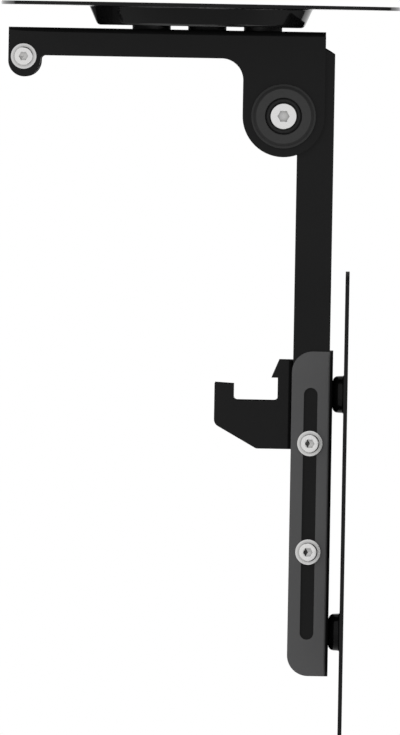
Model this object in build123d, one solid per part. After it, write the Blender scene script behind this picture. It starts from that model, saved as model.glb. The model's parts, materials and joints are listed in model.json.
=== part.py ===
from build123d import *
import os
from math import radians, tan

# A folding ceiling mount for a flat screen, hanging ready for use.
# Millimetres. +X is the side the screen faces, +Z is up, +Y is to its left as it faces +X.
# The origin is the centre of the ceiling plate's top face, which lies on the ceiling.

# Clearances
running_gap = 0.05  # radial, round a pin that turns
bolt_gap = 0.25  # radial, round a bolt in its hole
slide_gap = 0.15  # screen channel to mast, on each side and in front
face_gap = 0.05  # between flat faces that turn on each other
head_gap = 0.9  # crown of the mast to the underside of the bracket's web

# Ceiling plate: one round pressing with a shallow pan that leaves room for the swivel nuts
plate_diameter = 200.0
plate_sheet = 1.8
pan_diameter = 112.0
pan_depth = 11.3  # ceiling to the underside of the pan's floor
pan_draft = 24.0  # degrees from upright
pan_floor_round = 2.5
pan_lip_round = 1.2
ceiling_slot_width = 8.5
ceiling_slot_length = 20.0
ceiling_spacing = 110.0  # along X and along Y

# Swivel: a centre bolt, and a lock bolt in a curved slot on each side of it
swivel_x = 3.3
swivel_spacing = 27.9
swivel_range = 30.0  # degrees to each side
spacer_diameter = 19.2
spacer_height = 1.8

# Swing bracket: sheet folded into a channel that is open below
bracket_sheet = 2.0
bracket_bend = 2.6  # outside radius
arm_height = 14.0
arm_fillet = 10.8
boss_radius = 20.5
pivot_x = 42.35
pivot_drop = 42.3  # below the top of the bracket
tab_radius = 8.05
tab_x = -87.65
tab_drop = 16.7
tab_fillet = 2.0
catch_x = -88.0
catch_drop = 14.55

# Mast: two cut side plates and a back web welded between them
mast_width = 40.0
mast_sheet = 2.0
mast_depth = 18.3
mast_offset = 6.95  # pivot to the mast's back face
mast_length = 270.5  # below the pivot
mast_ear = 18.0
mast_ear_fillet = 1.5
mast_crown_radius = 44.0
mast_crown_round = 6.0
mast_edge_round = 0.6  # along the outside of each side plate
mast_web_top = 26.0  # below the pivot
pivot_tube_diameter = 14.0
friction_diameter = 30.0
friction_sheet = 1.0

# Hook: sheet folded round the back of the mast, with a pocket for the catch bolt
hook_sheet = 2.0
hook_bend = 2.5
hook_width = 34.0
hook_lead = 8.35  # from its top edge to the catch bolt, along the folded mast
hook_height = 44.4
hook_reach = 39.1
prong_width = 9.6
prong_drop = 11.9
prong_slope = 0.5
pocket_width = 22.0
pocket_drop = 20.5
pocket_round = 1.8
barb_reach = 3.2
barb_drop = 8.8
barb_lead = 0.5
heel_drop = 32.4
heel_round = 4.0
sole_length = 17.8
sole_round = 3.0

# Screen channel: sheet folded round the mast, which slides on the clamp bolts
channel_sheet = 1.5
channel_bend = 2.2
channel_depth = 20.4
channel_length = 162.3
channel_corner = 10.4
slot_width = 6.8
slot_length = 125.9
clamp_rise = 52.9  # mast's lower end to the lower clamp bolt
clamp_spacing = 54.3
slide_rest = 8.0  # middle of the channel below the middle of the clamp bolts
sleeve_diameter = 9.5

# Screen plate: one pressing with two round dimples that stand on the channel
screen_height = 240.0
screen_width = 220.0
screen_sheet = 2.0
screen_corner = 14.0
dimple_spacing = 119.1
dimple_depth = 5.55
dimple_base = 18.8
dimple_draft = 3.0  # degrees from upright
dimple_face_round = 2.9
dimple_base_round = 0.7
small_pattern = 75.0
middle_pattern = 100.0
large_pattern = 200.0
small_hole = 5.0
large_hole = 7.0
window_across = 26.0
side_window_length = 130.0
side_window_y = 75.0
end_window_length = 110.0
end_window_z = 92.0
window_corner = 9.0

# Pivot caps: moulded discs that hold the pivot bolt's head and nut
cap_radius = 16.15
cap_step_radius = 13.7
cap_step_run = 1.2  # slope between the raised face and the rim
cap_recess_radius = 9.1
cap_height = 3.4
cap_rim_height = 2.4
cap_floor = 1.0
cap_edge_round = 0.8
cap_step_round = 0.4

# M8, M6 and M5 screws, nuts and washers
m8_shank = 8.0
m8_head = 13.0
m8_head_height = 4.5
m8_key = 5.0
m8_flats = 13.0
m8_hex_height = 5.3
m8_nut_height = 6.0
m8_washer = 16.0
m8_washer_sheet = 1.6
m6_shank = 6.0
m6_head = 9.4
m6_head_height = 4.2
m6_key = 4.0
m6_flats = 10.0
m6_hex_height = 4.0
m6_nut_height = 5.0
m6_washer = 12.8
m6_washer_sheet = 1.2
m5_shank = 5.0
m5_head = 9.4
m5_head_height = 2.7
m5_key = 3.0
m5_flats = 8.0
m5_nut_height = 2.7
thread_end = 0.8  # thread that shows past a nut
end_chamfer = 0.5
head_round = 0.4
key_share = 0.6  # depth of a socket as a share of its head
hex_bevel = 30.0  # degrees, turned on the corners of nuts and hexagon heads

# Heights and places that follow from those sizes
bracket_top = -(pan_depth + spacer_height)
web_underside = bracket_top - bracket_sheet
pivot_z = bracket_top - pivot_drop
catch_z = bracket_top - catch_drop
tab_z = bracket_top - tab_drop
bracket_front = pivot_x + boss_radius
bracket_rear = tab_x - tab_radius
bracket_width = mast_width + 2 * (friction_sheet + face_gap + bracket_sheet)
bracket_bottom = pivot_z - boss_radius
mast_back = pivot_x + mast_offset
mast_front = mast_back + mast_depth
mast_bottom = pivot_z - mast_length
channel_width = mast_width + 2 * (slide_gap + channel_sheet)
channel_front = mast_front + slide_gap + channel_sheet
clamp_x = mast_back + mast_depth / 2
clamp_heights = [mast_bottom + clamp_rise + clamp_spacing, mast_bottom + clamp_rise]
channel_middle = sum(clamp_heights) / len(clamp_heights) - slide_rest
channel_upper = channel_middle + channel_length / 2
channel_lower = channel_middle - channel_length / 2
hook_upper = pivot_z - (pivot_x - catch_x - hook_lead)
screen_back = channel_front + dimple_depth
dimple_heights = [dimple_spacing / 2, -dimple_spacing / 2]


def block(x_low, x_high, z_low, z_high):
    # Rectangle of a side outline
    middle = Pos((x_low + x_high) / 2, (z_low + z_high) / 2)
    return middle * Rectangle(x_high - x_low, z_high - z_low)


def round_corner(outline, x, z, radius):
    # Rounds the one corner of an outline that lies nearest to a point
    corner = outline.vertices().sort_by_distance((x, z, 0))[0]
    return fillet(corner, radius)


def slab(outline, y_low, y_high):
    # A side outline, drawn in X and Z, as a plate between two Y places
    return extrude(Plane.XZ.offset(-y_high) * outline, amount=y_high - y_low)


def through_y(outline, width):
    # A side outline as a body that spans a width about the middle plane
    return slab(outline, -width / 2, width / 2)


def cross_hole(x, z, radius, width):
    return through_y(Pos(x, z) * Circle(radius), width)


def folded_section(width, depth, sheet, bend):
    # Channel section with its web on top at zero and its walls hanging down
    outer = Pos(0, -depth / 2) * Rectangle(width, depth)
    outer = fillet(outer.vertices().group_by(Axis.Y)[-1], bend)
    inner = Pos(0, -(depth + sheet) / 2) * Rectangle(width - 2 * sheet, depth - sheet)
    inner = fillet(inner.vertices().group_by(Axis.Y)[-1], bend - sheet)
    return outer - inner


def facing_y(x, y, z, side):
    # Seat of a fastener whose head points to -Y or +Y
    return Plane(origin=(x, y, z), x_dir=(1, 0, 0), z_dir=(0, side, 0))


def facing_x(x, y, z, side):
    return Plane(origin=(x, y, z), x_dir=(0, 1, 0), z_dir=(side, 0, 0))


def facing_z(x, y, z, side):
    return Plane(origin=(x, y, z), x_dir=(1, 0, 0), z_dir=(0, 0, side))


def shank(diameter, length):
    rod = Pos(0, 0, -length / 2) * Cylinder(diameter / 2, length)
    return chamfer(rod.edges().sort_by(Axis.Z)[0], end_chamfer)


def socket_screw(diameter, head, head_height, key, length):
    # Round head with a hexagon socket above its seat at zero, shank below it
    top = Pos(0, 0, head_height / 2) * Cylinder(head / 2, head_height)
    top = fillet(top.edges().sort_by(Axis.Z)[-1], head_round)
    depth = head_height * key_share
    socket = RegularPolygon(key / 2, 6, major_radius=False)
    top -= extrude(Pos(0, 0, head_height - depth) * socket, depth)
    return top + shank(diameter, length)


def hexagon(flats, height):
    # Hexagonal block with the corners of its outer end turned down to the flats
    outline = RegularPolygon(flats / 2, 6, major_radius=False)
    prism = extrude(outline, height)
    corner = outline.vertices()[0].center().length
    bevel = corner - flats / 2
    turned = Pos(0, 0, height / 2) * Cylinder(corner, height)
    turned = chamfer(turned.edges().sort_by(Axis.Z)[-1], bevel * tan(radians(hex_bevel)), bevel)
    return prism & turned


def hex_screw(diameter, flats, head_height, length):
    return hexagon(flats, head_height) + shank(diameter, length)


def hex_nut(diameter, flats, height):
    bore = Pos(0, 0, height / 2) * Cylinder(diameter / 2 + running_gap, height)
    return hexagon(flats, height) - bore


def ring(outside, bore, height):
    # Flat washer, spacer or sleeve standing on zero
    return extrude(Circle(outside / 2) - Circle(bore / 2), height)


def loose(diameter):
    # Bore that a bolt passes through freely
    return diameter + 2 * bolt_gap


def pressed_disc(reach, mouth, depth, draft, floor_round, lip_round, sheet):
    # Round sheet with its top at zero and its middle drawn down, one thickness all over
    floor = mouth - depth * tan(radians(draft))
    underside = FilletPolyline(
        (0, -depth - sheet),
        (floor, -depth - sheet),
        (mouth, -sheet),
        (reach, -sheet),
        radius=[floor_round, lip_round],
    )
    section = make_face(offset(underside, sheet, side=Side.LEFT))
    return revolve(Plane.XZ * section, Axis.Z)


def make_ceiling_plate():
    body = pressed_disc(
        plate_diameter / 2,
        pan_diameter / 2,
        pan_depth - plate_sheet,
        pan_draft,
        pan_floor_round,
        pan_lip_round,
        plate_sheet,
    )

    # Slots for the ceiling screws, then the swivel's bore and its two curved slots
    slots = GridLocations(ceiling_spacing, ceiling_spacing, 2, 2)
    cuts = Sketch() + slots * SlotOverall(ceiling_slot_length, ceiling_slot_width)
    cuts += Pos(swivel_x, 0) * Circle(m8_shank / 2 + running_gap)
    path = CenterArc((0, 0), swivel_spacing, -swivel_range, 2 * swivel_range)
    curved_slot = SlotArc(path, loose(m6_shank))
    cuts += Pos(swivel_x, 0) * curved_slot
    cuts += Pos(swivel_x, 0) * mirror(curved_slot, Plane.YZ)
    return body - extrude(Pos(0, 0, -pan_depth) * cuts, pan_depth)


def make_swivel_spacer(x, bore):
    return Pos(x, 0, bracket_top) * ring(spacer_diameter, bore, spacer_height)


def make_swivel_set(x, diameter, flats, head_height, nut_height, washer, washer_sheet):
    # Screw from below through bracket, spacer and pan floor, with a washer and nut in the pan
    floor_top = -pan_depth + plate_sheet
    length = floor_top + washer_sheet + nut_height + thread_end - web_underside
    screw = facing_z(x, 0, web_underside, -1) * hex_screw(diameter, flats, head_height, length)
    disc = Pos(x, 0, floor_top) * ring(washer, loose(diameter), washer_sheet)
    nut = Pos(x, 0, floor_top + washer_sheet) * hex_nut(diameter, flats, nut_height)
    return screw, disc, nut


def make_swing_bracket():
    # Side outline: arm along the top, leg with a round boss, tab for the catch bolt
    arm_underside = bracket_top - arm_height
    leg_rear = pivot_x - boss_radius
    outline = block(bracket_rear, bracket_front, arm_underside, bracket_top)
    outline += block(leg_rear, bracket_front, pivot_z, bracket_top)
    outline += Pos(pivot_x, pivot_z) * Circle(boss_radius)
    outline += block(bracket_rear, tab_x + tab_radius, tab_z, bracket_top)
    outline += Pos(tab_x, tab_z) * Circle(tab_radius)
    outline = round_corner(outline, leg_rear, arm_underside, arm_fillet)
    outline = round_corner(outline, tab_x + tab_radius, arm_underside, tab_fillet)

    section = folded_section(bracket_width, bracket_top - bracket_bottom, bracket_sheet, bracket_bend)
    start = facing_x(bracket_rear, 0, bracket_top, 1)
    body = extrude(start * section, bracket_front - bracket_rear)
    body &= through_y(outline, bracket_width)

    body -= cross_hole(pivot_x, pivot_z, loose(m8_shank) / 2, bracket_width)
    body -= cross_hole(catch_x, catch_z, loose(m6_shank) / 2, bracket_width)
    web_holes = Pos(swivel_x, 0) * Circle(loose(m8_shank) / 2)
    for side in (-1, 1):
        web_holes += Pos(swivel_x + side * swivel_spacing, 0) * Circle(loose(m6_shank) / 2)
    return body - extrude(Pos(0, 0, web_underside) * web_holes, bracket_sheet)


def make_pivot_cap(side):
    # Turned profile: bore, floor of the recess, raised face, slope, lower rim with a round edge
    bore = loose(m8_shank) / 2
    profile = Polyline(
        (bore, 0),
        (cap_radius, 0),
        (cap_radius, cap_rim_height),
        (cap_step_radius + cap_step_run, cap_rim_height),
        (cap_step_radius, cap_height),
        (cap_recess_radius, cap_height),
        (cap_recess_radius, cap_floor),
        (bore, cap_floor),
        close=True,
    )
    face = make_face(profile)
    face = round_corner(face, cap_radius, cap_rim_height, cap_edge_round)
    face = round_corner(face, cap_step_radius, cap_height, cap_step_round)
    face = round_corner(face, cap_recess_radius, cap_height, cap_step_round)
    disc = revolve(Plane.XZ * face, Axis.Z)
    return facing_y(pivot_x, side * bracket_width / 2, pivot_z, side) * disc


def make_pivot_fasteners():
    seat = bracket_width / 2 + cap_floor
    length = 2 * seat + m8_nut_height + thread_end
    screw = socket_screw(m8_shank, m8_head, m8_head_height, m8_key, length)
    nut = hex_nut(m8_shank, m8_flats, m8_nut_height)
    return facing_y(pivot_x, -seat, pivot_z, -1) * screw, facing_y(pivot_x, seat, pivot_z, 1) * nut


def make_friction_washer(side):
    washer = ring(friction_diameter, 2 * (m8_shank / 2 + running_gap), friction_sheet)
    return facing_y(pivot_x, side * mast_width / 2, pivot_z, side) * washer


def make_cross_set(x, z, half_width):
    # M6 screw across the mount from its -Y side, with a washer at each end and a nut
    seat = half_width + m6_washer_sheet
    length = 2 * seat + m6_nut_height + thread_end
    screw = socket_screw(m6_shank, m6_head, m6_head_height, m6_key, length)
    washer = ring(m6_washer, loose(m6_shank), m6_washer_sheet)
    washers = [facing_y(x, side * half_width, z, side) * washer for side in (-1, 1)]
    nut = facing_y(x, seat, z, 1) * hex_nut(m6_shank, m6_flats, m6_nut_height)
    return facing_y(x, -seat, z, -1) * screw, washers, nut


def make_mast_plate(side):
    # Straight blade with a crown that just passes under the bracket's web as it folds
    crown_rear = pivot_x - mast_ear
    crown_top = web_underside - head_gap
    crown = Pos(pivot_x, crown_top - mast_crown_radius) * Circle(mast_crown_radius)
    crown &= block(crown_rear, mast_front, pivot_z, crown_top)
    corner = crown.vertices().sort_by(Axis.X)[:2].sort_by(Axis.Y)[-1]
    crown = fillet(corner, mast_crown_round)
    outline = crown + Pos(pivot_x, pivot_z) * Circle(mast_ear)
    outline += block(mast_back, mast_front, mast_bottom, pivot_z)
    outline = round_corner(outline, mast_back, pivot_z - mast_ear, mast_ear_fillet)
    outline -= Pos(pivot_x, pivot_z) * Circle(pivot_tube_diameter / 2 + running_gap)
    for height in clamp_heights:
        outline -= Pos(clamp_x, height) * Circle(loose(m6_shank) / 2)
    faces = sorted((side * mast_width / 2, side * (mast_width / 2 - mast_sheet)))
    plate = slab(outline, *faces)
    outer_face = plate.faces().sort_by(Axis.Y)[-1 if side > 0 else 0]
    return fillet(outer_face.outer_wire().edges(), mast_edge_round)


def make_mast_web():
    outline = block(mast_back, mast_back + mast_sheet, mast_bottom, pivot_z - mast_web_top)
    return through_y(outline, mast_width - 2 * mast_sheet)


def make_pivot_tube():
    tube = ring(pivot_tube_diameter, 2 * (m8_shank / 2 + running_gap), mast_width)
    return facing_y(pivot_x, mast_width / 2, pivot_z, -1) * tube


def make_clamp_sleeve(z):
    length = mast_width - 2 * mast_sheet
    return facing_y(clamp_x, length / 2, z, -1) * ring(sleeve_diameter, loose(m6_shank), length)


def make_hook():
    # Side outline, from the mast's back face round the barb, the pocket and the prong
    top = hook_upper
    back = mast_back - hook_reach
    prong_front = back + prong_width
    pocket_front = prong_front + pocket_width
    floor = top - pocket_drop
    bottom = top - hook_height
    outline = make_face(
        Polyline(
            (mast_back, top),
            (pocket_front + barb_lead, top),
            (pocket_front - barb_reach, top - barb_drop),
            (pocket_front, top - barb_drop),
            (pocket_front, floor),
            (prong_front, floor),
            (prong_front, top - prong_drop - prong_slope),
            (back, top - prong_drop),
            (back, top - heel_drop),
            (mast_back - sole_length, bottom),
            (mast_back, bottom),
            close=True,
        )
    )
    outline = round_corner(outline, pocket_front, floor, pocket_round)
    outline = round_corner(outline, prong_front, floor, pocket_round)
    outline = round_corner(outline, back, top - heel_drop, heel_round)
    outline = round_corner(outline, mast_back - sole_length, bottom, sole_round)

    section = folded_section(hook_width, hook_reach, hook_sheet, hook_bend)
    start = Plane(origin=(mast_back, 0, bottom), x_dir=(0, -1, 0), z_dir=(0, 0, 1))
    return extrude(start * section, hook_height) & through_y(outline, hook_width)


def make_screen_channel():
    rear = channel_front - channel_depth
    outline = block(rear, channel_front, channel_lower, channel_upper)
    for height in (channel_lower, channel_upper):
        outline = round_corner(outline, rear, height, channel_corner)
    section = folded_section(channel_width, channel_depth, channel_sheet, channel_bend)
    start = Plane(origin=(channel_front, 0, channel_lower), x_dir=(0, -1, 0), z_dir=(0, 0, 1))
    body = extrude(start * section, channel_length) & through_y(outline, channel_width)

    slot = Pos(clamp_x, channel_middle) * SlotOverall(slot_length, slot_width, rotation=90)
    body -= through_y(slot, channel_width)
    web_inside = channel_front - channel_sheet
    for height in dimple_heights:
        hole = facing_x(web_inside, 0, channel_middle + height, 1) * Circle(loose(m5_shank) / 2)
        body -= extrude(hole, channel_sheet)
    return body


def make_screen_plate():
    # Flat sheet with its front at zero, and a pressed disc let in at each dimple
    flat = RectangleRounded(screen_width, screen_height, screen_corner)
    reach = dimple_base / 2 + dimple_base_round + screen_sheet
    places = [Pos(0, height) for height in dimple_heights]
    for place in places:
        flat -= place * Circle(reach)
    body = extrude(flat, -screen_sheet)
    dimple = pressed_disc(
        reach,
        dimple_base / 2,
        dimple_depth,
        dimple_draft,
        dimple_face_round,
        dimple_base_round,
        screen_sheet,
    )
    for place in places:
        body += place * dimple

    # Screw patterns of the screens, and the windows between them
    cuts = Sketch()
    for spacing in (small_pattern, middle_pattern):
        cuts += GridLocations(spacing, spacing, 2, 2) * Circle(small_hole / 2)
    for spacing in (middle_pattern, large_pattern):
        cuts += GridLocations(large_pattern, spacing, 2, 2) * Circle(large_hole / 2)
    side_window = RectangleRounded(window_across, side_window_length, window_corner)
    end_window = RectangleRounded(end_window_length, window_across, window_corner)
    for side in (-1, 1):
        cuts += Pos(side * side_window_y, 0) * side_window
        cuts += Pos(0, side * end_window_z) * end_window
    for place in places:
        cuts += place * Circle(loose(m5_shank) / 2)
    body -= extrude(cuts, -(dimple_depth + screen_sheet))
    return facing_x(screen_back + screen_sheet, 0, channel_middle, 1) * body


def make_plate_fasteners(height):
    # Screw from inside the dimple through the channel's web, with a thin nut behind it
    z = channel_middle + height
    seat = channel_front + screen_sheet
    web_inside = channel_front - channel_sheet
    length = screen_sheet + channel_sheet + m5_nut_height
    screw = socket_screw(m5_shank, m5_head, m5_head_height, m5_key, length)
    nut = hex_nut(m5_shank, m5_flats, m5_nut_height)
    return facing_x(seat, 0, z, 1) * screw, facing_x(web_inside, 0, z, -1) * nut


nodes = {"ceiling_plate": make_ceiling_plate(), "swing_bracket": make_swing_bracket()}

# Swivel
swivel_bore = 2 * (m8_shank / 2 + running_gap)
lock_places = [swivel_x - swivel_spacing, swivel_x + swivel_spacing]
nodes["swivel_spacer_center"] = make_swivel_spacer(swivel_x, swivel_bore)
nodes["swivel_spacer_rear"] = make_swivel_spacer(lock_places[0], loose(m6_shank))
nodes["swivel_spacer_front"] = make_swivel_spacer(lock_places[1], loose(m6_shank))
swivel_set = make_swivel_set(
    swivel_x, m8_shank, m8_flats, m8_hex_height, m8_nut_height, m8_washer, m8_washer_sheet
)
nodes["swivel_bolt"], nodes["swivel_washer"], nodes["swivel_nut"] = swivel_set
lock_sets = [
    make_swivel_set(x, m6_shank, m6_flats, m6_hex_height, m6_nut_height, m6_washer, m6_washer_sheet)
    for x in lock_places
]
for name, pair in zip(("lock_bolts", "lock_washers", "lock_nuts"), zip(*lock_sets)):
    nodes[name] = Compound(pair)

# Fold pivot and catch
nodes["pivot_cap_right"] = make_pivot_cap(-1)
nodes["pivot_cap_left"] = make_pivot_cap(1)
nodes["pivot_bolt"], nodes["pivot_nut"] = make_pivot_fasteners()
nodes["friction_washer_right"] = make_friction_washer(-1)
nodes["friction_washer_left"] = make_friction_washer(1)
nodes["catch_bolt"], catch_washers, nodes["catch_nut"] = make_cross_set(catch_x, catch_z, bracket_width / 2)
nodes["catch_washers"] = Compound(catch_washers)

# Mast
nodes["mast_plate_right"] = make_mast_plate(-1)
nodes["mast_plate_left"] = make_mast_plate(1)
nodes["mast_web"] = make_mast_web()
nodes["pivot_tube"] = make_pivot_tube()
nodes["hook"] = make_hook()
clamp_sets = [make_cross_set(clamp_x, z, channel_width / 2) for z in clamp_heights]
nodes["clamp_bolts"] = Compound([screw for screw, washers, nut in clamp_sets])
nodes["clamp_washers"] = Compound([washer for screw, washers, nut in clamp_sets for washer in washers])
nodes["clamp_nuts"] = Compound([nut for screw, washers, nut in clamp_sets])
nodes["clamp_sleeves"] = Compound([make_clamp_sleeve(z) for z in clamp_heights])

# Screen side
nodes["screen_channel"] = make_screen_channel()
nodes["screen_plate"] = make_screen_plate()
plate_sets = [make_plate_fasteners(height) for height in dimple_heights]
nodes["plate_screws"] = Compound([screw for screw, nut in plate_sets])
nodes["plate_nuts"] = Compound([nut for screw, nut in plate_sets])

os.makedirs("parts", exist_ok=True)
for name, shape in nodes.items():
    export_step(shape, f"parts/{name}.step")
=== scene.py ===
import json
import math

import bmesh
import bpy
from mathutils import Matrix, Quaternion, Vector

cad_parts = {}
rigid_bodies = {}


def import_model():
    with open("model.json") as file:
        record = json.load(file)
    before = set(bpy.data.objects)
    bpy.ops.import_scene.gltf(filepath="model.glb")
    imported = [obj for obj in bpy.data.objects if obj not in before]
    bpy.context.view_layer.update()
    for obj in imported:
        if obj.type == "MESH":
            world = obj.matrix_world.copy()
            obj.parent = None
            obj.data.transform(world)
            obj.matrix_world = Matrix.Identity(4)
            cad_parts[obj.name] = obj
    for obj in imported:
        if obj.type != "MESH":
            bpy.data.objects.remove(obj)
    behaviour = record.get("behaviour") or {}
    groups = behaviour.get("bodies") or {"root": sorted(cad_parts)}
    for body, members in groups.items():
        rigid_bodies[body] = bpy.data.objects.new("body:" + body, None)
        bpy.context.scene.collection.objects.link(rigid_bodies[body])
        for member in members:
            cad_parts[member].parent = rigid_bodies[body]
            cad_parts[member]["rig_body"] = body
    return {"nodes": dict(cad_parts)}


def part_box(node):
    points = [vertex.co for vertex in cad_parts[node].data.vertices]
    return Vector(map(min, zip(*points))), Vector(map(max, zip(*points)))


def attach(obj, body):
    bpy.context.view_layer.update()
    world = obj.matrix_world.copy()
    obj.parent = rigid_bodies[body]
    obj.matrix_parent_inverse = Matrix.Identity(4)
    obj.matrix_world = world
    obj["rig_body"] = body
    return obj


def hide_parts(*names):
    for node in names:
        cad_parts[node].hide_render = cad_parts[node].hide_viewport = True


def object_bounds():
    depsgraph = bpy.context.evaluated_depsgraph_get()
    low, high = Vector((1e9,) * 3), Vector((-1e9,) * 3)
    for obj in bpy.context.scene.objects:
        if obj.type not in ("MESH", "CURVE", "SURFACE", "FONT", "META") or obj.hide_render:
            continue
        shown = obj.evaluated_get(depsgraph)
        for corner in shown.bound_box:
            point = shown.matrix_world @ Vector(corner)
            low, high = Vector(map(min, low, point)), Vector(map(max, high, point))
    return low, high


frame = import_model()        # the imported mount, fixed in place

mm = 0.001
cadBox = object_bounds()
nodes = frame["nodes"]
scene = bpy.context.scene
print("frame loaded,", len(nodes), "nodes")


# small helpers for node trees

def setInputs(tree, node, inputs):
    # sockets of other nodes are linked, plain values are set
    for socket, value in inputs.items():
        if isinstance(value, bpy.types.NodeSocket):
            tree.links.new(value, node.inputs[socket])
        else:
            node.inputs[socket].default_value = value


def addNode(tree, kind, inputs=None, **settings):
    node = tree.nodes.new(kind)
    for key, value in settings.items():
        setattr(node, key, value)
    setInputs(tree, node, inputs or {})
    return node


def addMath(tree, operation, *values, clamp=False):
    node = addNode(tree, "ShaderNodeMath", dict(enumerate(values)), operation=operation, use_clamp=clamp)
    return node.outputs["Value"]


def addVectorMath(tree, operation, *values):
    return addNode(tree, "ShaderNodeVectorMath", dict(enumerate(values)), operation=operation)


def startGroup(name, inputs, outputs):
    tree = bpy.data.node_groups.new(name, "ShaderNodeTree")
    for label, value in inputs.items():
        socket = tree.interface.new_socket(label, in_out="INPUT", socket_type="NodeSocketFloat")
        socket.default_value = value
    for label, kind in outputs.items():
        tree.interface.new_socket(label, in_out="OUTPUT", socket_type=kind)
    return tree, tree.nodes.new("NodeGroupInput"), tree.nodes.new("NodeGroupOutput")


def placeGroup(tree, group, inputs):
    return addNode(tree, "ShaderNodeGroup", inputs, node_tree=group)


def startMaterial(name, shaderInputs):
    material = bpy.data.materials.new(name)
    material.use_nodes = True
    tree = material.node_tree
    shader = tree.nodes["Principled BSDF"]
    setInputs(tree, shader, shaderInputs)
    return material, tree, shader


def mixColour(tree, factor, dark, light):
    inputs = {"Factor": factor, "A": (*dark, 1), "B": (*light, 1)}
    return addNode(tree, "ShaderNodeMix", inputs, data_type="RGBA").outputs["Result"]


def overColour(tree, mask, under, over):
    inputs = {"Factor": mask, "A": under, "B": (*over, 1)}
    return addNode(tree, "ShaderNodeMix", inputs, data_type="RGBA").outputs["Result"]


def overValue(tree, mask, under, over):
    return addNode(tree, "ShaderNodeMix", {"Factor": mask, "A": under, "B": over}).outputs["Result"]


def spreadValue(tree, factor, low, high):
    inputs = {"Value": factor, "To Min": low, "To Max": high}
    return addNode(tree, "ShaderNodeMapRange", inputs).outputs["Result"]


def pastMask(tree, start):
    # 1 beyond a place in x, in the piece's own space
    place = addNode(tree, "ShaderNodeTexCoord")
    split = addNode(tree, "ShaderNodeSeparateXYZ", {"Vector": place.outputs["Object"]})
    return addMath(tree, "GREATER_THAN", split.outputs["X"], start)


def ringMask(tree, centre, inner, outer):
    # 1 between two distances from an axis along y, in the piece's own space
    place = addNode(tree, "ShaderNodeTexCoord")
    away = addVectorMath(tree, "SUBTRACT", place.outputs["Object"], centre)
    flat = addVectorMath(tree, "MULTIPLY", away.outputs["Vector"], (1, 0, 1))
    reach = addVectorMath(tree, "LENGTH", flat.outputs["Vector"])
    past = addMath(tree, "GREATER_THAN", reach.outputs["Value"], inner)
    short = addMath(tree, "LESS_THAN", reach.outputs["Value"], outer)
    return addMath(tree, "MULTIPLY", past, short)


# effects that several finishes share

def buildSprayGrain():
    # fine pebble of a sprayed or moulded skin, with a slow drift of tone
    kinds = {"Height": "NodeSocketFloat", "Drift": "NodeSocketFloat"}
    tree, given, made = startGroup("sprayGrain", {"Pebbles": 1800, "Patches": 35}, kinds)
    place = addNode(tree, "ShaderNodeTexCoord")
    pebbles = addNode(tree, "ShaderNodeTexNoise", {
        "Vector": place.outputs["Object"], "Scale": given.outputs["Pebbles"],
        "Detail": 2.5, "Roughness": 0.55})
    patches = addNode(tree, "ShaderNodeTexNoise", {
        "Vector": place.outputs["Object"], "Scale": given.outputs["Patches"],
        "Detail": 3, "Roughness": 0.6})
    setInputs(tree, made, {"Height": pebbles.outputs["Fac"], "Drift": patches.outputs["Fac"]})
    return tree


def buildEdgeRub():
    # softened normal on cut edges, and a mask of where hands and tools rub them
    kinds = {"Edge": "NodeSocketFloat", "Normal": "NodeSocketVector"}
    tree, given, made = startGroup("edgeRub", {"Radius": 0.3 * mm, "Gain": 2.5}, kinds)
    soft = addNode(tree, "ShaderNodeBevel", {"Radius": given.outputs["Radius"]}, samples=6)
    flat = addNode(tree, "ShaderNodeNewGeometry")
    facing = addVectorMath(tree, "DOT_PRODUCT", soft.outputs["Normal"], flat.outputs["Normal"])
    turned = addMath(tree, "SUBTRACT", 1, facing.outputs["Value"])
    edge = addMath(tree, "MULTIPLY", turned, given.outputs["Gain"], clamp=True)
    setInputs(tree, made, {"Edge": edge, "Normal": soft.outputs["Normal"]})
    return tree


def buildHandHaze():
    # faint wiped marks that change the gloss only
    tree, given, made = startGroup("handHaze", {"Size": 14, "Sharpness": 3}, {"Haze": "NodeSocketFloat"})
    place = addNode(tree, "ShaderNodeTexCoord")
    smear = addNode(tree, "ShaderNodeTexNoise", {
        "Vector": place.outputs["Object"], "Scale": given.outputs["Size"],
        "Detail": 5, "Roughness": 0.7, "Distortion": 1.2})
    middle = 0.5                    # tone that the sharpness leaves as it is
    apart = addMath(tree, "SUBTRACT", smear.outputs["Fac"], middle)
    haze = addMath(tree, "MULTIPLY_ADD", apart, given.outputs["Sharpness"], middle, clamp=True)
    setInputs(tree, made, {"Haze": haze})
    return tree


def buildRecessShadeGroup():
    # painted shade: mask of sockets, recesses and tight corners from ambient occlusion, where the colour is
    # darkened and the gloss dulled
    inputs = {"Reach": 3 * mm, "Gain": 1}
    tree, given, made = startGroup("recessGrime", inputs, {"PaintedShade": "NodeSocketFloat"})
    shade = addNode(tree, "ShaderNodeAmbientOcclusion", {"Distance": given.outputs["Reach"]}, samples=12)
    closed = addMath(tree, "SUBTRACT", 1, shade.outputs["AO"])
    paintedShade = addMath(tree, "MULTIPLY", closed, given.outputs["Gain"], clamp=True)
    setInputs(tree, made, {"PaintedShade": paintedShade})
    return tree


def buildSawnEnd():
    # mask of the sheared ends that look straight up or down on an upright sheet, past a place in x
    inputs = {"Start": 0.7, "Full": 0.95, "Past": -1}
    tree, given, made = startGroup("sawnEnd", inputs, {"End": "NodeSocketFloat"})
    place = addNode(tree, "ShaderNodeTexCoord")
    facing = addNode(tree, "ShaderNodeSeparateXYZ", {"Vector": place.outputs["Normal"]})
    level = addNode(tree, "ShaderNodeMapRange", {
        "Value": addMath(tree, "ABSOLUTE", facing.outputs["Z"]),
        "From Min": given.outputs["Start"], "From Max": given.outputs["Full"]})
    end = addMath(tree, "MULTIPLY", level.outputs["Result"], pastMask(tree, given.outputs["Past"]))
    setInputs(tree, made, {"End": end})
    return tree


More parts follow.
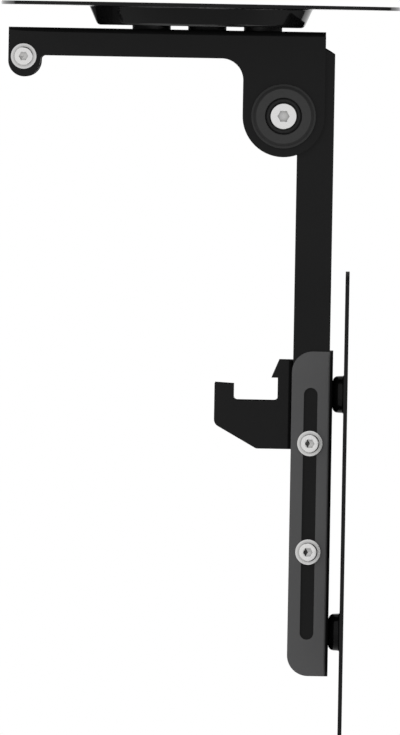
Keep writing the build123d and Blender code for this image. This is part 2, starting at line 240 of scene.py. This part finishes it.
sprayGrain = buildSprayGrain()
edgeRub = buildEdgeRub()
handHaze = buildHandHaze()
recessGrime = buildRecessShadeGroup()
sawnEnd = buildSawnEnd()
effects = (sprayGrain, edgeRub, handHaze, recessGrime, sawnEnd)
print("effects built:", ", ".join(effect.name for effect in effects))


# finishes

def grainNormal(tree, grain, rub, look):
    # the grain as bump over the softened edges
    bump = addNode(tree, "ShaderNodeBump", {
        "Strength": look["bump"], "Distance": look["pebbleDepth"],
        "Height": grain.outputs["Height"], "Normal": rub.outputs["Normal"]})
    return bump.outputs["Normal"]


def skinMaterial(name, look):
    # coat or moulded skin: grain in the bump, haze in the gloss, rubbed edges, and painted shade that
    # darkens and dulls the recesses
    material, tree, shader = startMaterial(
        name, {"Specular IOR Level": look["specular"], "Metallic": look["metallic"]})
    grain = placeGroup(tree, sprayGrain, {"Pebbles": look["pebbles"], "Patches": look["patches"]})
    rub = placeGroup(tree, edgeRub, {"Radius": look["edgeRadius"], "Gain": look["rubGain"]})
    haze = placeGroup(tree, handHaze, {"Size": look["hazeSize"], "Sharpness": look["hazeSharpness"]})
    paintedShade = placeGroup(tree, recessGrime, {"Reach": look["recessReach"], "Gain": look["recessGain"]})
    colour = mixColour(tree, grain.outputs["Drift"], look["dark"], look["light"])
    rough = spreadValue(tree, haze.outputs["Haze"], *look["roughness"])
    for zone in look.get("rings", []):
        mask = ringMask(tree, zone["centre"], zone["inner"], zone["outer"])
        colour = overColour(tree, mask, colour, zone["colour"])
        rough = overValue(tree, mask, rough, zone["roughness"])
    # painted reflection: past a place in x the colour turns black and dull, standing in for the black screen
    # plate mirrored in the channel's front bend
    if "front" in look:
        mask = pastMask(tree, look["front"]["start"])
        colour = overColour(tree, mask, colour, look["front"]["colour"])
        rough = overValue(tree, mask, rough, look["front"]["roughness"])
    if "endRoughness" in look:
        ends = placeGroup(tree, sawnEnd, {"Past": look["endPast"]})
        rough = overValue(tree, ends.outputs["End"], rough, look["endRoughness"])
    colour = overColour(tree, rub.outputs["Edge"], colour, look["rubbed"])
    # painted shade: the occlusion mask darkens the colour and dulls the gloss in recesses
    colour = overColour(tree, paintedShade.outputs["PaintedShade"], colour, look["recess"])
    rough = overValue(tree, paintedShade.outputs["PaintedShade"], rough, look["recessRoughness"])
    normal = grainNormal(tree, grain, rub, look)
    setInputs(tree, shader, {"Base Color": colour, "Roughness": rough, "Normal": normal})
    return material


# in each look, the recess colour, reach and gain set the painted shade in sockets, recesses and tight
# corners
blackCoatLook = dict(
    dark=(0.0060, 0.0060, 0.0061), light=(0.0082, 0.0082, 0.0083), rubbed=(0.008, 0.008, 0.008),
    specular=0.13, metallic=0, roughness=(0.07, 0.10), pebbles=1900, patches=28,
    hazeSize=14, hazeSharpness=2.5, bump=0.02, pebbleDepth=0.05 * mm, edgeRadius=0.06 * mm, rubGain=1,
    recess=(0.005, 0.005, 0.005), recessReach=2 * mm, recessGain=0.4, recessRoughness=0.2)
sheetCoatLook = dict(blackCoatLook, endRoughness=1, endPast=-1)     # bracket, mast and hook, at any x
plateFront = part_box("screen_plate")[1].x
screenSheet = 2 * mm
plateCoatLook = dict(sheetCoatLook, endPast=plateFront - screenSheet)    # the dimples stay glossy
channelCoatLook = dict(
    dark=(0.078, 0.078, 0.079), light=(0.092, 0.092, 0.093), rubbed=(0.08, 0.08, 0.08),
    specular=0.3, metallic=0.35, roughness=(0.20, 0.26), pebbles=1900, patches=28,
    hazeSize=14, hazeSharpness=2.5, bump=0.04, pebbleDepth=0.05 * mm, edgeRadius=0.15 * mm, rubGain=1,
    recess=(0.03, 0.03, 0.03), recessReach=2 * mm, recessGain=0.3, recessRoughness=0.4)
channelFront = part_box("screen_channel")[1].x
plateReflectionStrip = 1.45 * mm      # how far back the painted reflection of the black screen plate reaches from the front bend
channelCoatLook["front"] = dict(start=channelFront - plateReflectionStrip, colour=(0.006, 0.006, 0.006), roughness=0.9)
capSkinLook = dict(
    dark=(0.014, 0.014, 0.014), light=(0.018, 0.018, 0.018), rubbed=(0.014, 0.014, 0.014),
    specular=0.45, metallic=0, roughness=(0.34, 0.42), pebbles=2600, patches=60,
    hazeSize=40, hazeSharpness=2.5, bump=0.14, pebbleDepth=0.04 * mm, edgeRadius=0.15 * mm, rubGain=1,
    recess=(0.001, 0.001, 0.001), recessReach=1.3 * mm, recessGain=1.9, recessRoughness=1)
capMiddle = sum(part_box("pivot_cap_right"), Vector()) / 2
capSkinLook["rings"] = [
    # first ring: painted shade, a darker and duller recess floor round the bolt head; the outer two are
    # matte rings of the rim
    dict(centre=capMiddle, inner=6 * mm, outer=9.1 * mm, colour=(0.006, 0.006, 0.006), roughness=0.5),
    dict(centre=capMiddle, inner=13.7 * mm, outer=15 * mm, colour=(0.022, 0.022, 0.022), roughness=1),
    dict(centre=capMiddle, inner=15 * mm, outer=17 * mm, colour=(0.031, 0.031, 0.031), roughness=1)]
nylonLook = dict(
    dark=(0.010, 0.010, 0.010), light=(0.015, 0.015, 0.015), rubbed=(0.012, 0.012, 0.012),
    specular=0.35, metallic=0, roughness=(0.40, 0.50), pebbles=1500, patches=60,
    hazeSize=40, hazeSharpness=2.5, bump=0.10, pebbleDepth=0.04 * mm, edgeRadius=0.2 * mm, rubGain=1,
    recess=(0.006, 0.006, 0.006), recessReach=2 * mm, recessGain=0.5, recessRoughness=0.6)


def zincMaterial(name, look):
    # bright zinc: bluish and straw patches, fine drawn grain, and painted shade that darkens the sockets
    material, tree, shader = startMaterial(name, {"Metallic": 1})
    grain = placeGroup(tree, sprayGrain, {"Pebbles": look["pebbles"], "Patches": look["patches"]})
    rub = placeGroup(tree, edgeRub, {"Radius": look["edgeRadius"]})
    haze = placeGroup(tree, handHaze, {"Size": look["hazeSize"], "Sharpness": look["hazeSharpness"]})
    paintedShade = placeGroup(tree, recessGrime, {"Reach": look["recessReach"], "Gain": look["recessGain"]})
    tint = mixColour(tree, grain.outputs["Drift"], look["cool"], look["warm"])
    # painted shade: the occlusion mask darkens the zinc in sockets and recesses
    colour = overColour(tree, paintedShade.outputs["PaintedShade"], tint, look["recess"])
    rough = spreadValue(tree, haze.outputs["Haze"], *look["roughness"])
    normal = grainNormal(tree, grain, rub, look)
    setInputs(tree, shader, {"Base Color": colour, "Roughness": rough, "Normal": normal})
    return material


# the recess colour, reach and gain paint shade into the sockets of the zinc parts
zincLook = dict(
    cool=(0.80, 0.80, 0.82), warm=(0.84, 0.83, 0.80), roughness=(0.16, 0.24), pebbles=2200, patches=120,
    hazeSize=90, hazeSharpness=3, bump=0.06, pebbleDepth=0.03 * mm, edgeRadius=0.12 * mm,
    recess=(0.16, 0.16, 0.155), recessReach=2.5 * mm, recessGain=1.2)
zincSocketLook = dict(zincLook, recessReach=8 * mm, recessGain=1.1)     # wider reach of the painted shade, for the wide socket of the pivot bolt

blackCoat = skinMaterial("blackCoat", blackCoatLook)
sheetCoat = skinMaterial("sheetCoat", sheetCoatLook)
plateCoat = skinMaterial("plateCoat", plateCoatLook)
channelCoat = skinMaterial("channelCoat", channelCoatLook)
capSkin = skinMaterial("capSkin", capSkinLook)
spacerNylon = skinMaterial("spacerNylon", nylonLook)
zincPlate = zincMaterial("zincPlate", zincLook)
zincSocket = zincMaterial("zincSocket", zincSocketLook)

finishOfSlot = {
    "black_coat": blackCoat,
    "grey_coat": channelCoat,
    "cap_plastic": capSkin,
    "black_nylon": spacerNylon,
    "zinc_steel": zincPlate,
}
sheetNodes = ("swing_bracket", "mast_plate_right", "mast_plate_left", "mast_web", "hook")
finishOfSheet = {name: sheetCoat for name in sheetNodes}
finishOfSheet["screen_plate"] = plateCoat
for name, node in nodes.items():
    for index, carried in enumerate(node.data.materials):
        node.data.materials[index] = finishOfSheet.get(name, finishOfSlot[carried.name])
finishes = (blackCoat, sheetCoat, plateCoat, channelCoat, capSkin, spacerNylon, zincPlate, zincSocket)
print("finishes built:", ", ".join(finish.name for finish in finishes))


# screws, nuts and washers, made of rings round a local z that points out of the seat

def atAngle(value, angle):
    return value(angle) if callable(value) else value


def hexRadius(flats):
    # distance to the side of a hexagon whose corners lie on the local x axis
    sector = math.pi / 3
    return lambda angle: flats / 2 / math.cos(angle % sector - sector / 2)


def ringPiece(rings, steps=72, closed=False):
    # rings of (radius, height), numbers or functions of the angle, joined end to end
    bm = bmesh.new()
    loops = []
    for radius, height in rings:
        if radius == 0:
            loops.append([bm.verts.new((0, 0, height))])
            continue
        loop = []
        for step in range(steps):
            angle = 2 * math.pi * step / steps
            reach = atAngle(radius, angle)
            spot = (reach * math.cos(angle), reach * math.sin(angle), atAngle(height, angle))
            loop.append(bm.verts.new(spot))
        loops.append(loop)
    pairs = list(zip(loops, loops[1:]))
    if closed:
        pairs.append((loops[-1], loops[0]))
    for lower, upper in pairs:
        for step in range(steps):
            after = (step + 1) % steps
            if len(lower) == 1:
                bm.faces.new((lower[0], upper[after], upper[step]))
            elif len(upper) == 1:
                bm.faces.new((lower[step], lower[after], upper[0]))
            else:
                bm.faces.new((lower[step], lower[after], upper[after], upper[step]))
    bmesh.ops.recalc_face_normals(bm, faces=bm.faces)
    return bm


threadForm = dict(depth=0.61, crest=0.12, slices=8)     # shares of the pitch, and rings in one turn


def threadRings(radius, pitch, low, high, tipChamfer):
    # right-hand thread from the tip at low up to plain shank at high
    depth = threadForm["depth"] * pitch
    crest = threadForm["crest"]
    slices = threadForm["slices"]
    rings = []
    for index in range(int((high - low) / pitch * slices) + 1):
        height = low + index * pitch / slices
        lead = radius - tipChamfer + (height - low)
        fade = min(1, (high - height) / pitch)

        def reach(angle, height=height, lead=lead, fade=fade):
            turn = (height / pitch - angle / (2 * math.pi)) % 1
            groove = max(0, abs(2 * turn - 1) - crest) / (1 - crest)
            return min(radius - depth * groove * fade, lead)

        rings.append((reach, height))
    return rings


def threadedShank(size, length):
    # tip, thread and plain shank up to the seat under the head
    shank = size["shank"] / 2
    threadEnd = size["threaded"] - length
    rings = [(0, -length)]
    rings += threadRings(shank, size["pitch"], -length, threadEnd, size["tipChamfer"])
    rings += [(shank, threadEnd + size["pitch"] / threadForm["slices"]), (shank, 0)]
    return rings


def roundedRim(radius, height, bend, steps=5):
    # quarter arc from the side of a disc to its top face
    arc = []
    for step in range(steps + 1):
        turn = math.pi / 2 * step / steps
        arc.append((radius - bend + bend * math.cos(turn), height - bend + bend * math.sin(turn)))
    return arc


def socketScrew(size, length):
    # threaded shank, round head and a hexagon socket with a pressed floor
    head = size["head"] / 2
    top = size["headHeight"]
    key = hexRadius(size["key"])
    corner = size["key"] / math.sqrt(3)
    floor = top - size["socketDepth"]
    rings = threadedShank(size, length)
    rings += [(head - size["underChamfer"], 0), (head, size["underChamfer"])]
    rings += roundedRim(head, top, size["rim"])
    rings += [(corner + size["lead"], top), (key, top - size["lead"]), (key, floor)]
    rings += [(0, floor - size["floorDip"])]
    return ringPiece(rings)


# radius of the top face and of the dish as shares of the flats, and the dish's floor as a share of the dish
hexForm = dict(
    face=0.485, chamferDegrees=30, dish=0.32, dishFloor=0.9, dishDepth=0.25 * mm, middleDepth=0.3 * mm)


def hexWall(size, low, high):
    # side of a hexagon with its outer corners turned down
    wall = hexRadius(size["flats"])
    face = size["flats"] * hexForm["face"]
    slope = math.tan(math.radians(hexForm["chamferDegrees"]))
    return [(wall, low), (wall, lambda angle: high - (wall(angle) - face) * slope), (face, high)]


def hexScrew(size, length):
    # threaded shank and a hexagon head with a shallow forged dish
    top = size["hexHeight"]
    dish = size["flats"] * hexForm["dish"]
    rings = threadedShank(size, length)
    rings += hexWall(size, 0, top)
    rings += [(dish, top), (dish * hexForm["dishFloor"], top - hexForm["dishDepth"])]
    rings += [(0, top - hexForm["middleDepth"])]
    return ringPiece(rings)


def hexNut(size):
    bore = size["shank"] / 2 + size["boreGap"]
    lead = size["nutLead"]
    rings = [(bore, 0)] + hexWall(size, 0, size["nutHeight"])
    rings += [(bore + lead, size["nutHeight"]), (bore, size["nutHeight"] - lead)]
    return ringPiece(rings, closed=True)


def flatWasher(size):
    # stamped ring, rounder on its upper edge than below
    outside = size["washer"] / 2
    bore = size["shank"] / 2 + size["washerGap"]
    sheet = size["washerSheet"]
    edge = size["washerEdge"]
    rings = [(bore, edge / 2), (bore + edge / 2, 0), (outside - edge / 2, 0), (outside, edge / 2)]
    rings += roundedRim(outside, sheet, edge, steps=4)
    rings += [(bore + edge / 2, sheet), (bore, sheet - edge / 2)]
    return ringPiece(rings, closed=True)


m8 = dict(
    shank=8 * mm, pitch=1.25 * mm, threaded=22 * mm, tipChamfer=0.5 * mm,
    head=13 * mm, headHeight=4.5 * mm, rim=0.4 * mm, underChamfer=0.2 * mm,
    key=5.2 * mm, socketDepth=2.1 * mm, lead=0.12 * mm, floorDip=0.05 * mm,
    flats=13 * mm, hexHeight=5.3 * mm, nutHeight=6 * mm, boreGap=0.05 * mm, nutLead=0.5 * mm,
    washer=16 * mm, washerSheet=1.6 * mm, washerEdge=0.35 * mm, washerGap=0.25 * mm)
m6 = dict(
    shank=6 * mm, pitch=1 * mm, threaded=24 * mm, tipChamfer=0.5 * mm,
    head=9.4 * mm, headHeight=4.2 * mm, rim=0.7 * mm, underChamfer=0.2 * mm,
    key=4 * mm, socketDepth=1.9 * mm, lead=0.1 * mm, floorDip=0.72 * mm,
    flats=10 * mm, hexHeight=4 * mm, nutHeight=5 * mm, boreGap=0.05 * mm, nutLead=0.4 * mm,
    washer=12.8 * mm, washerSheet=1.2 * mm, washerEdge=0.2 * mm, washerGap=0.25 * mm)
m5 = dict(
    shank=5 * mm, pitch=0.8 * mm, threaded=5 * mm, tipChamfer=0.5 * mm,
    head=9.4 * mm, headHeight=2.7 * mm, rim=0.4 * mm, underChamfer=0.15 * mm,
    key=3 * mm, socketDepth=1.2 * mm, lead=0.1 * mm, floorDip=0.5 * mm,
    flats=8 * mm, nutHeight=2.7 * mm, boreGap=0.05 * mm, nutLead=0.3 * mm)
sharpDegrees = 17        # steeper bends between two faces stay sharp


def seatMatrix(point, outward):
    # local z along outward; local x along world x, or along y where outward is x
    out = Vector(outward).normalized()
    side = Vector((0, 1, 0)) if abs(out.x) > 0.5 else Vector((1, 0, 0))
    up = out.cross(side)
    turn = Matrix((side, up, out)).transposed().to_4x4()
    return Matrix.Translation(point) @ turn


def pieceTitle(nodeName):
    first, second = nodeName.split("_")
    return first + second.capitalize()


def addFasteners(nodeName, shape, seats, finish=zincPlate):
    # one piece that stands for one CAD node, with a copy of the shape at each seat
    title = pieceTitle(nodeName)
    mesh = bpy.data.meshes.new(title)
    whole = bmesh.new()
    single = bpy.data.meshes.new(title + "One")
    shape.to_mesh(single)
    shape.free()
    for point, outward in seats:
        moved = single.copy()
        moved.transform(seatMatrix(point, outward))
        whole.from_mesh(moved)
        bpy.data.meshes.remove(moved)
    bpy.data.meshes.remove(single)
    whole.to_mesh(mesh)
    whole.free()
    mesh.shade_smooth()
    mesh.set_sharp_from_angle(angle=math.radians(sharpDegrees))
    piece = bpy.data.objects.new(title, mesh)
    scene.collection.objects.link(piece)
    mesh.materials.append(finish)
    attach(piece, nodes[nodeName]["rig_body"])
    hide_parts(nodeName)


def crossSeats(nodeName, yFace, heights=None):
    # seats of parts that stack along y at the places a node's box gives
    low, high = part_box(nodeName)
    spot = (low + high) / 2
    return [((spot.x, yFace, z), (0, math.copysign(1, yFace), 0)) for z in (heights or [spot.z])]


def addCrossBolts(size, bolt, nut, washers=None, heights=None, finish=zincPlate):
    # socket screws along y with their heads on the right, a washer on each side, and nuts on the left
    boltLow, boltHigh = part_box(bolt)
    headSeat = boltLow.y + size["headHeight"]
    screw = socketScrew(size, boltHigh.y - headSeat)
    addFasteners(bolt, screw, crossSeats(bolt, headSeat, heights), finish)
    if washers:
        washerLow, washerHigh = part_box(washers)
        seats = crossSeats(washers, washerLow.y + size["washerSheet"], heights)
        seats += crossSeats(washers, washerHigh.y - size["washerSheet"], heights)
        addFasteners(washers, flatWasher(size), seats)
    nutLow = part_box(nut)[0]
    addFasteners(nut, hexNut(size), crossSeats(nut, nutLow.y, heights))


# fold pivot: head in the right cap, nut in the left one
addCrossBolts(m8, "pivot_bolt", "pivot_nut", finish=zincSocket)

# catch bolt across the rear end of the arm
addCrossBolts(m6, "catch_bolt", "catch_nut", "catch_washers")

# the two clamp bolts through channel and mast
clampLow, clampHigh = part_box("clamp_bolts")
clampHeights = [clampHigh.z - m6["head"] / 2, clampLow.z + m6["head"] / 2]
addCrossBolts(m6, "clamp_bolts", "clamp_nuts", "clamp_washers", clampHeights)

# swivel screw and the two lock screws beside it, heads below, nuts in the pan
swivelSets = (
    (m8, "swivel_bolt", "swivel_washer", "swivel_nut"),
    (m6, "lock_bolts", "lock_washers", "lock_nuts"))
for size, bolt, washer, nut in swivelSets:
    boltLow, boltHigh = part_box(bolt)
    washerLow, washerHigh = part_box(washer)
    corner = size["flats"] / math.sqrt(3)
    places = [boltLow.x + corner, boltHigh.x - corner]
    if places[1] - places[0] < corner:      # the node holds one bolt
        places = [(places[0] + places[1]) / 2]
    seat = boltLow.z + size["hexHeight"]
    down = [((x, 0, seat), (0, 0, -1)) for x in places]
    discs = [((x, 0, washerLow.z), (0, 0, 1)) for x in places]
    nuts = [((x, 0, washerHigh.z), (0, 0, 1)) for x in places]
    addFasteners(bolt, hexScrew(size, boltHigh.z - seat), down)
    addFasteners(washer, flatWasher(size), discs)
    addFasteners(nut, hexNut(size), nuts)

# screws in the dimples of the screen plate, nuts behind the channel's front wall
screwLow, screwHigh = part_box("plate_screws")
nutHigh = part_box("plate_nuts")[1]
seat = screwHigh.x - m5["headHeight"]
heights = [screwHigh.z - m5["head"] / 2, screwLow.z + m5["head"] / 2]
outward = [((seat, 0, z), (1, 0, 0)) for z in heights]
inward = [((nutHigh.x, 0, z), (-1, 0, 0)) for z in heights]
addFasteners("plate_screws", socketScrew(m5, seat - screwLow.x), outward)
addFasteners("plate_nuts", hexNut(m5), inward)
print("fasteners made")


# stage: pale floor under the mount, white all round

floorLook = dict(
    drop=70 * mm, radius=1.05, segments=96, fadeStart=0.30, fadeEnd=0.85, colour=(0.86, 0.86, 0.86),
    fibres=900, fibreDetail=3, fibreTone=0.01, roughness=0.9, specular=0.1)
floorHeight = cadBox[0].z - floorLook["drop"]


def buildFloor(look):
    bm = bmesh.new()
    bmesh.ops.create_circle(bm, cap_ends=True, segments=look["segments"], radius=look["radius"])
    mesh = bpy.data.meshes.new("paperFloor")
    bm.to_mesh(mesh)
    bm.free()
    floor = bpy.data.objects.new("paperFloor", mesh)
    floor.location = (0, 0, floorHeight)
    scene.collection.objects.link(floor)
    material, tree, shader = startMaterial(
        "floorPaper", {"Roughness": look["roughness"], "Specular IOR Level": look["specular"]})
    place = addNode(tree, "ShaderNodeTexCoord")
    fibre = addNode(tree, "ShaderNodeTexNoise", {
        "Vector": place.outputs["Object"], "Scale": look["fibres"], "Detail": look["fibreDetail"]})
    darker = [level - look["fibreTone"] for level in look["colour"]]
    lighter = [level + look["fibreTone"] for level in look["colour"]]
    setInputs(tree, shader, {"Base Color": mixColour(tree, fibre.outputs["Fac"], darker, lighter)})
    # the far floor runs out into the white, and a camera below looks through it
    away = addVectorMath(tree, "LENGTH", place.outputs["Object"])
    edge = {"Value": away.outputs["Value"], "From Min": look["fadeStart"], "From Max": look["fadeEnd"]}
    fade = addNode(tree, "ShaderNodeMapRange", edge, interpolation_type="SMOOTHSTEP")
    back = addNode(tree, "ShaderNodeNewGeometry")
    hidden = addMath(tree, "MAXIMUM", fade.outputs["Result"], back.outputs["Backfacing"])
    clear = addNode(tree, "ShaderNodeBsdfTransparent")
    blend = addNode(tree, "ShaderNodeMixShader", {
        "Fac": hidden, 1: shader.outputs["BSDF"], 2: clear.outputs["BSDF"]})
    setInputs(tree, tree.nodes["Material Output"], {"Surface": blend.outputs["Shader"]})
    mesh.materials.append(material)


buildFloor(floorLook)

# what mirrors see: a room that dims from ahead to the sides, and white paper behind
studioLook = dict(
    ambient=0.55, dim=0.05, ahead=0.84, aheadEdge=(0.84, -0.10), behind=1.0, behindEdge=(0.76, 0.79),
    cardEdge=(-0.02, -0.09), cardSide=(-0.10, -0.25), skew=0.06)


def buildStudio(look):
    world = bpy.data.worlds.new("whiteStudio")
    scene.world = world
    world.use_nodes = True
    tree = world.node_tree
    tree.nodes.clear()
    path = addNode(tree, "ShaderNodeLightPath")
    place = addNode(tree, "ShaderNodeTexCoord")
    split = addNode(tree, "ShaderNodeSeparateXYZ", {"Vector": place.outputs["Generated"]})

    def ramp(axis, edge, level):
        inputs = {"Value": axis, "From Min": edge[0], "From Max": edge[1], "To Max": level}
        return addNode(tree, "ShaderNodeMapRange", inputs).outputs["Result"]

    ahead = ramp(split.outputs["Y"], look["aheadEdge"], look["ahead"])
    # the paper reaches a little further round on the left
    skewed = addMath(tree, "MULTIPLY_ADD", split.outputs["X"], -look["skew"], split.outputs["Y"])
    paper = ramp(skewed, look["behindEdge"], look["behind"])
    # black card before it, low on the left
    low = ramp(split.outputs["Z"], look["cardEdge"], 1)
    left = ramp(split.outputs["X"], look["cardSide"], 1)
    bare = addMath(tree, "SUBTRACT", 1, addMath(tree, "MULTIPLY", low, left))
    behind = addMath(tree, "MULTIPLY", paper, bare)
    around = addMath(tree, "MAXIMUM", addMath(tree, "MAXIMUM", ahead, behind), look["dim"])

    # the camera sees plain white, mirrors see the room, and paint is lit evenly
    straight = addMath(tree, "MAXIMUM", around, path.outputs["Is Camera Ray"])
    seen = addMath(tree, "MAXIMUM", path.outputs["Is Camera Ray"], path.outputs["Is Glossy Ray"])
    through = addMath(tree, "MAXIMUM", seen, path.outputs["Is Transmission Ray"])
    room = addNode(tree, "ShaderNodeBackground", {"Color": (1, 1, 1, 1), "Strength": look["ambient"]})
    white = addNode(tree, "ShaderNodeBackground", {"Color": (1, 1, 1, 1), "Strength": straight})
    choose = addNode(tree, "ShaderNodeMixShader", {
        "Fac": through, 1: room.outputs["Background"], 2: white.outputs["Background"]})
    addNode(tree, "ShaderNodeOutputWorld", {"Surface": choose.outputs["Shader"]})


buildStudio(studioLook)

centre = (cadBox[0] + cadBox[1]) / 2
softBoxes = {
    "keyBox": dict(spot=(-0.40, -1.35, 0.35), size=1.1, power=8.5),
    "fillBox": dict(spot=(0.9, 0.9, 0.5), size=0.9, power=6),
}
for name, box in softBoxes.items():
    lamp = bpy.data.lights.new(name, "AREA")
    lamp.size = box["size"]
    lamp.energy = box["power"]
    holder = bpy.data.objects.new(name, lamp)
    holder.location = centre + Vector(box["spot"])
    holder.rotation_euler = (centre - holder.location).to_track_quat("-Z", "Y").to_euler()
    holder.visible_glossy = False   # the boxes light the paint, mirrors see the room
    scene.collection.objects.link(holder)

# light card over the floor that draws the pan's bends: linked to the ceiling plate, seen in its gloss only
bendCardLook = dict(low=(-0.30, -0.17), high=(0.36, 0.14), lift=12 * mm, glow=1.8)


def buildBendCard(look):
    wide = look["high"][0] - look["low"][0]
    deep = look["high"][1] - look["low"][1]
    card = bpy.data.lights.new("bendCard", "AREA")
    card.shape = "RECTANGLE"
    card.size = wide
    card.size_y = deep
    card.energy = look["glow"] * math.pi * wide * deep
    holder = bpy.data.objects.new("bendCard", card)
    holder.location = (look["low"][0] + wide / 2, look["low"][1] + deep / 2, floorHeight + look["lift"])
    holder.rotation_euler = (math.pi, 0, 0)     # faces up
    holder.visible_camera = False
    holder.visible_diffuse = False
    shownOn = bpy.data.collections.new("bendCardShownOn")
    shownOn.objects.link(nodes["ceiling_plate"])
    holder.light_linking.receiver_collection = shownOn
    scene.collection.objects.link(holder)


buildBendCard(bendCardLook)
scene.view_settings.view_transform = "Standard"
print("stage and lights set")


# camera: square to the mount's side, level with the ceiling plate, a long way off

viewLook = dict(
    lens=900, sensor=36, frameHeight=367.2 * mm, midX=2.85 * mm, midZ=-181.68 * mm, eyeZ=-20 * mm,
    rollDegrees=1.025, clip=(1, 30))


def buildCamera(look):
    data = bpy.data.cameras.new("sideCamera")
    camera = bpy.data.objects.new("sideCamera", data)
    scene.collection.objects.link(camera)
    scene.camera = camera
    data.lens = look["lens"]
    data.sensor_width = look["sensor"]
    data.clip_start, data.clip_end = look["clip"]
    distance = look["frameHeight"] * look["lens"] / look["sensor"]
    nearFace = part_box("swing_bracket")[0].y
    camera.location = (plateFront, nearFace - distance, look["eyeZ"])
    aim = Vector((look["midX"], nearFace, look["midZ"])) - camera.location
    roll = Quaternion((0, 0, 1), math.radians(look["rollDegrees"]))
    camera.rotation_mode = "QUATERNION"
    camera.rotation_quaternion = aim.to_track_quat("-Z", "Y") @ roll


buildCamera(viewLook)
print("camera set")
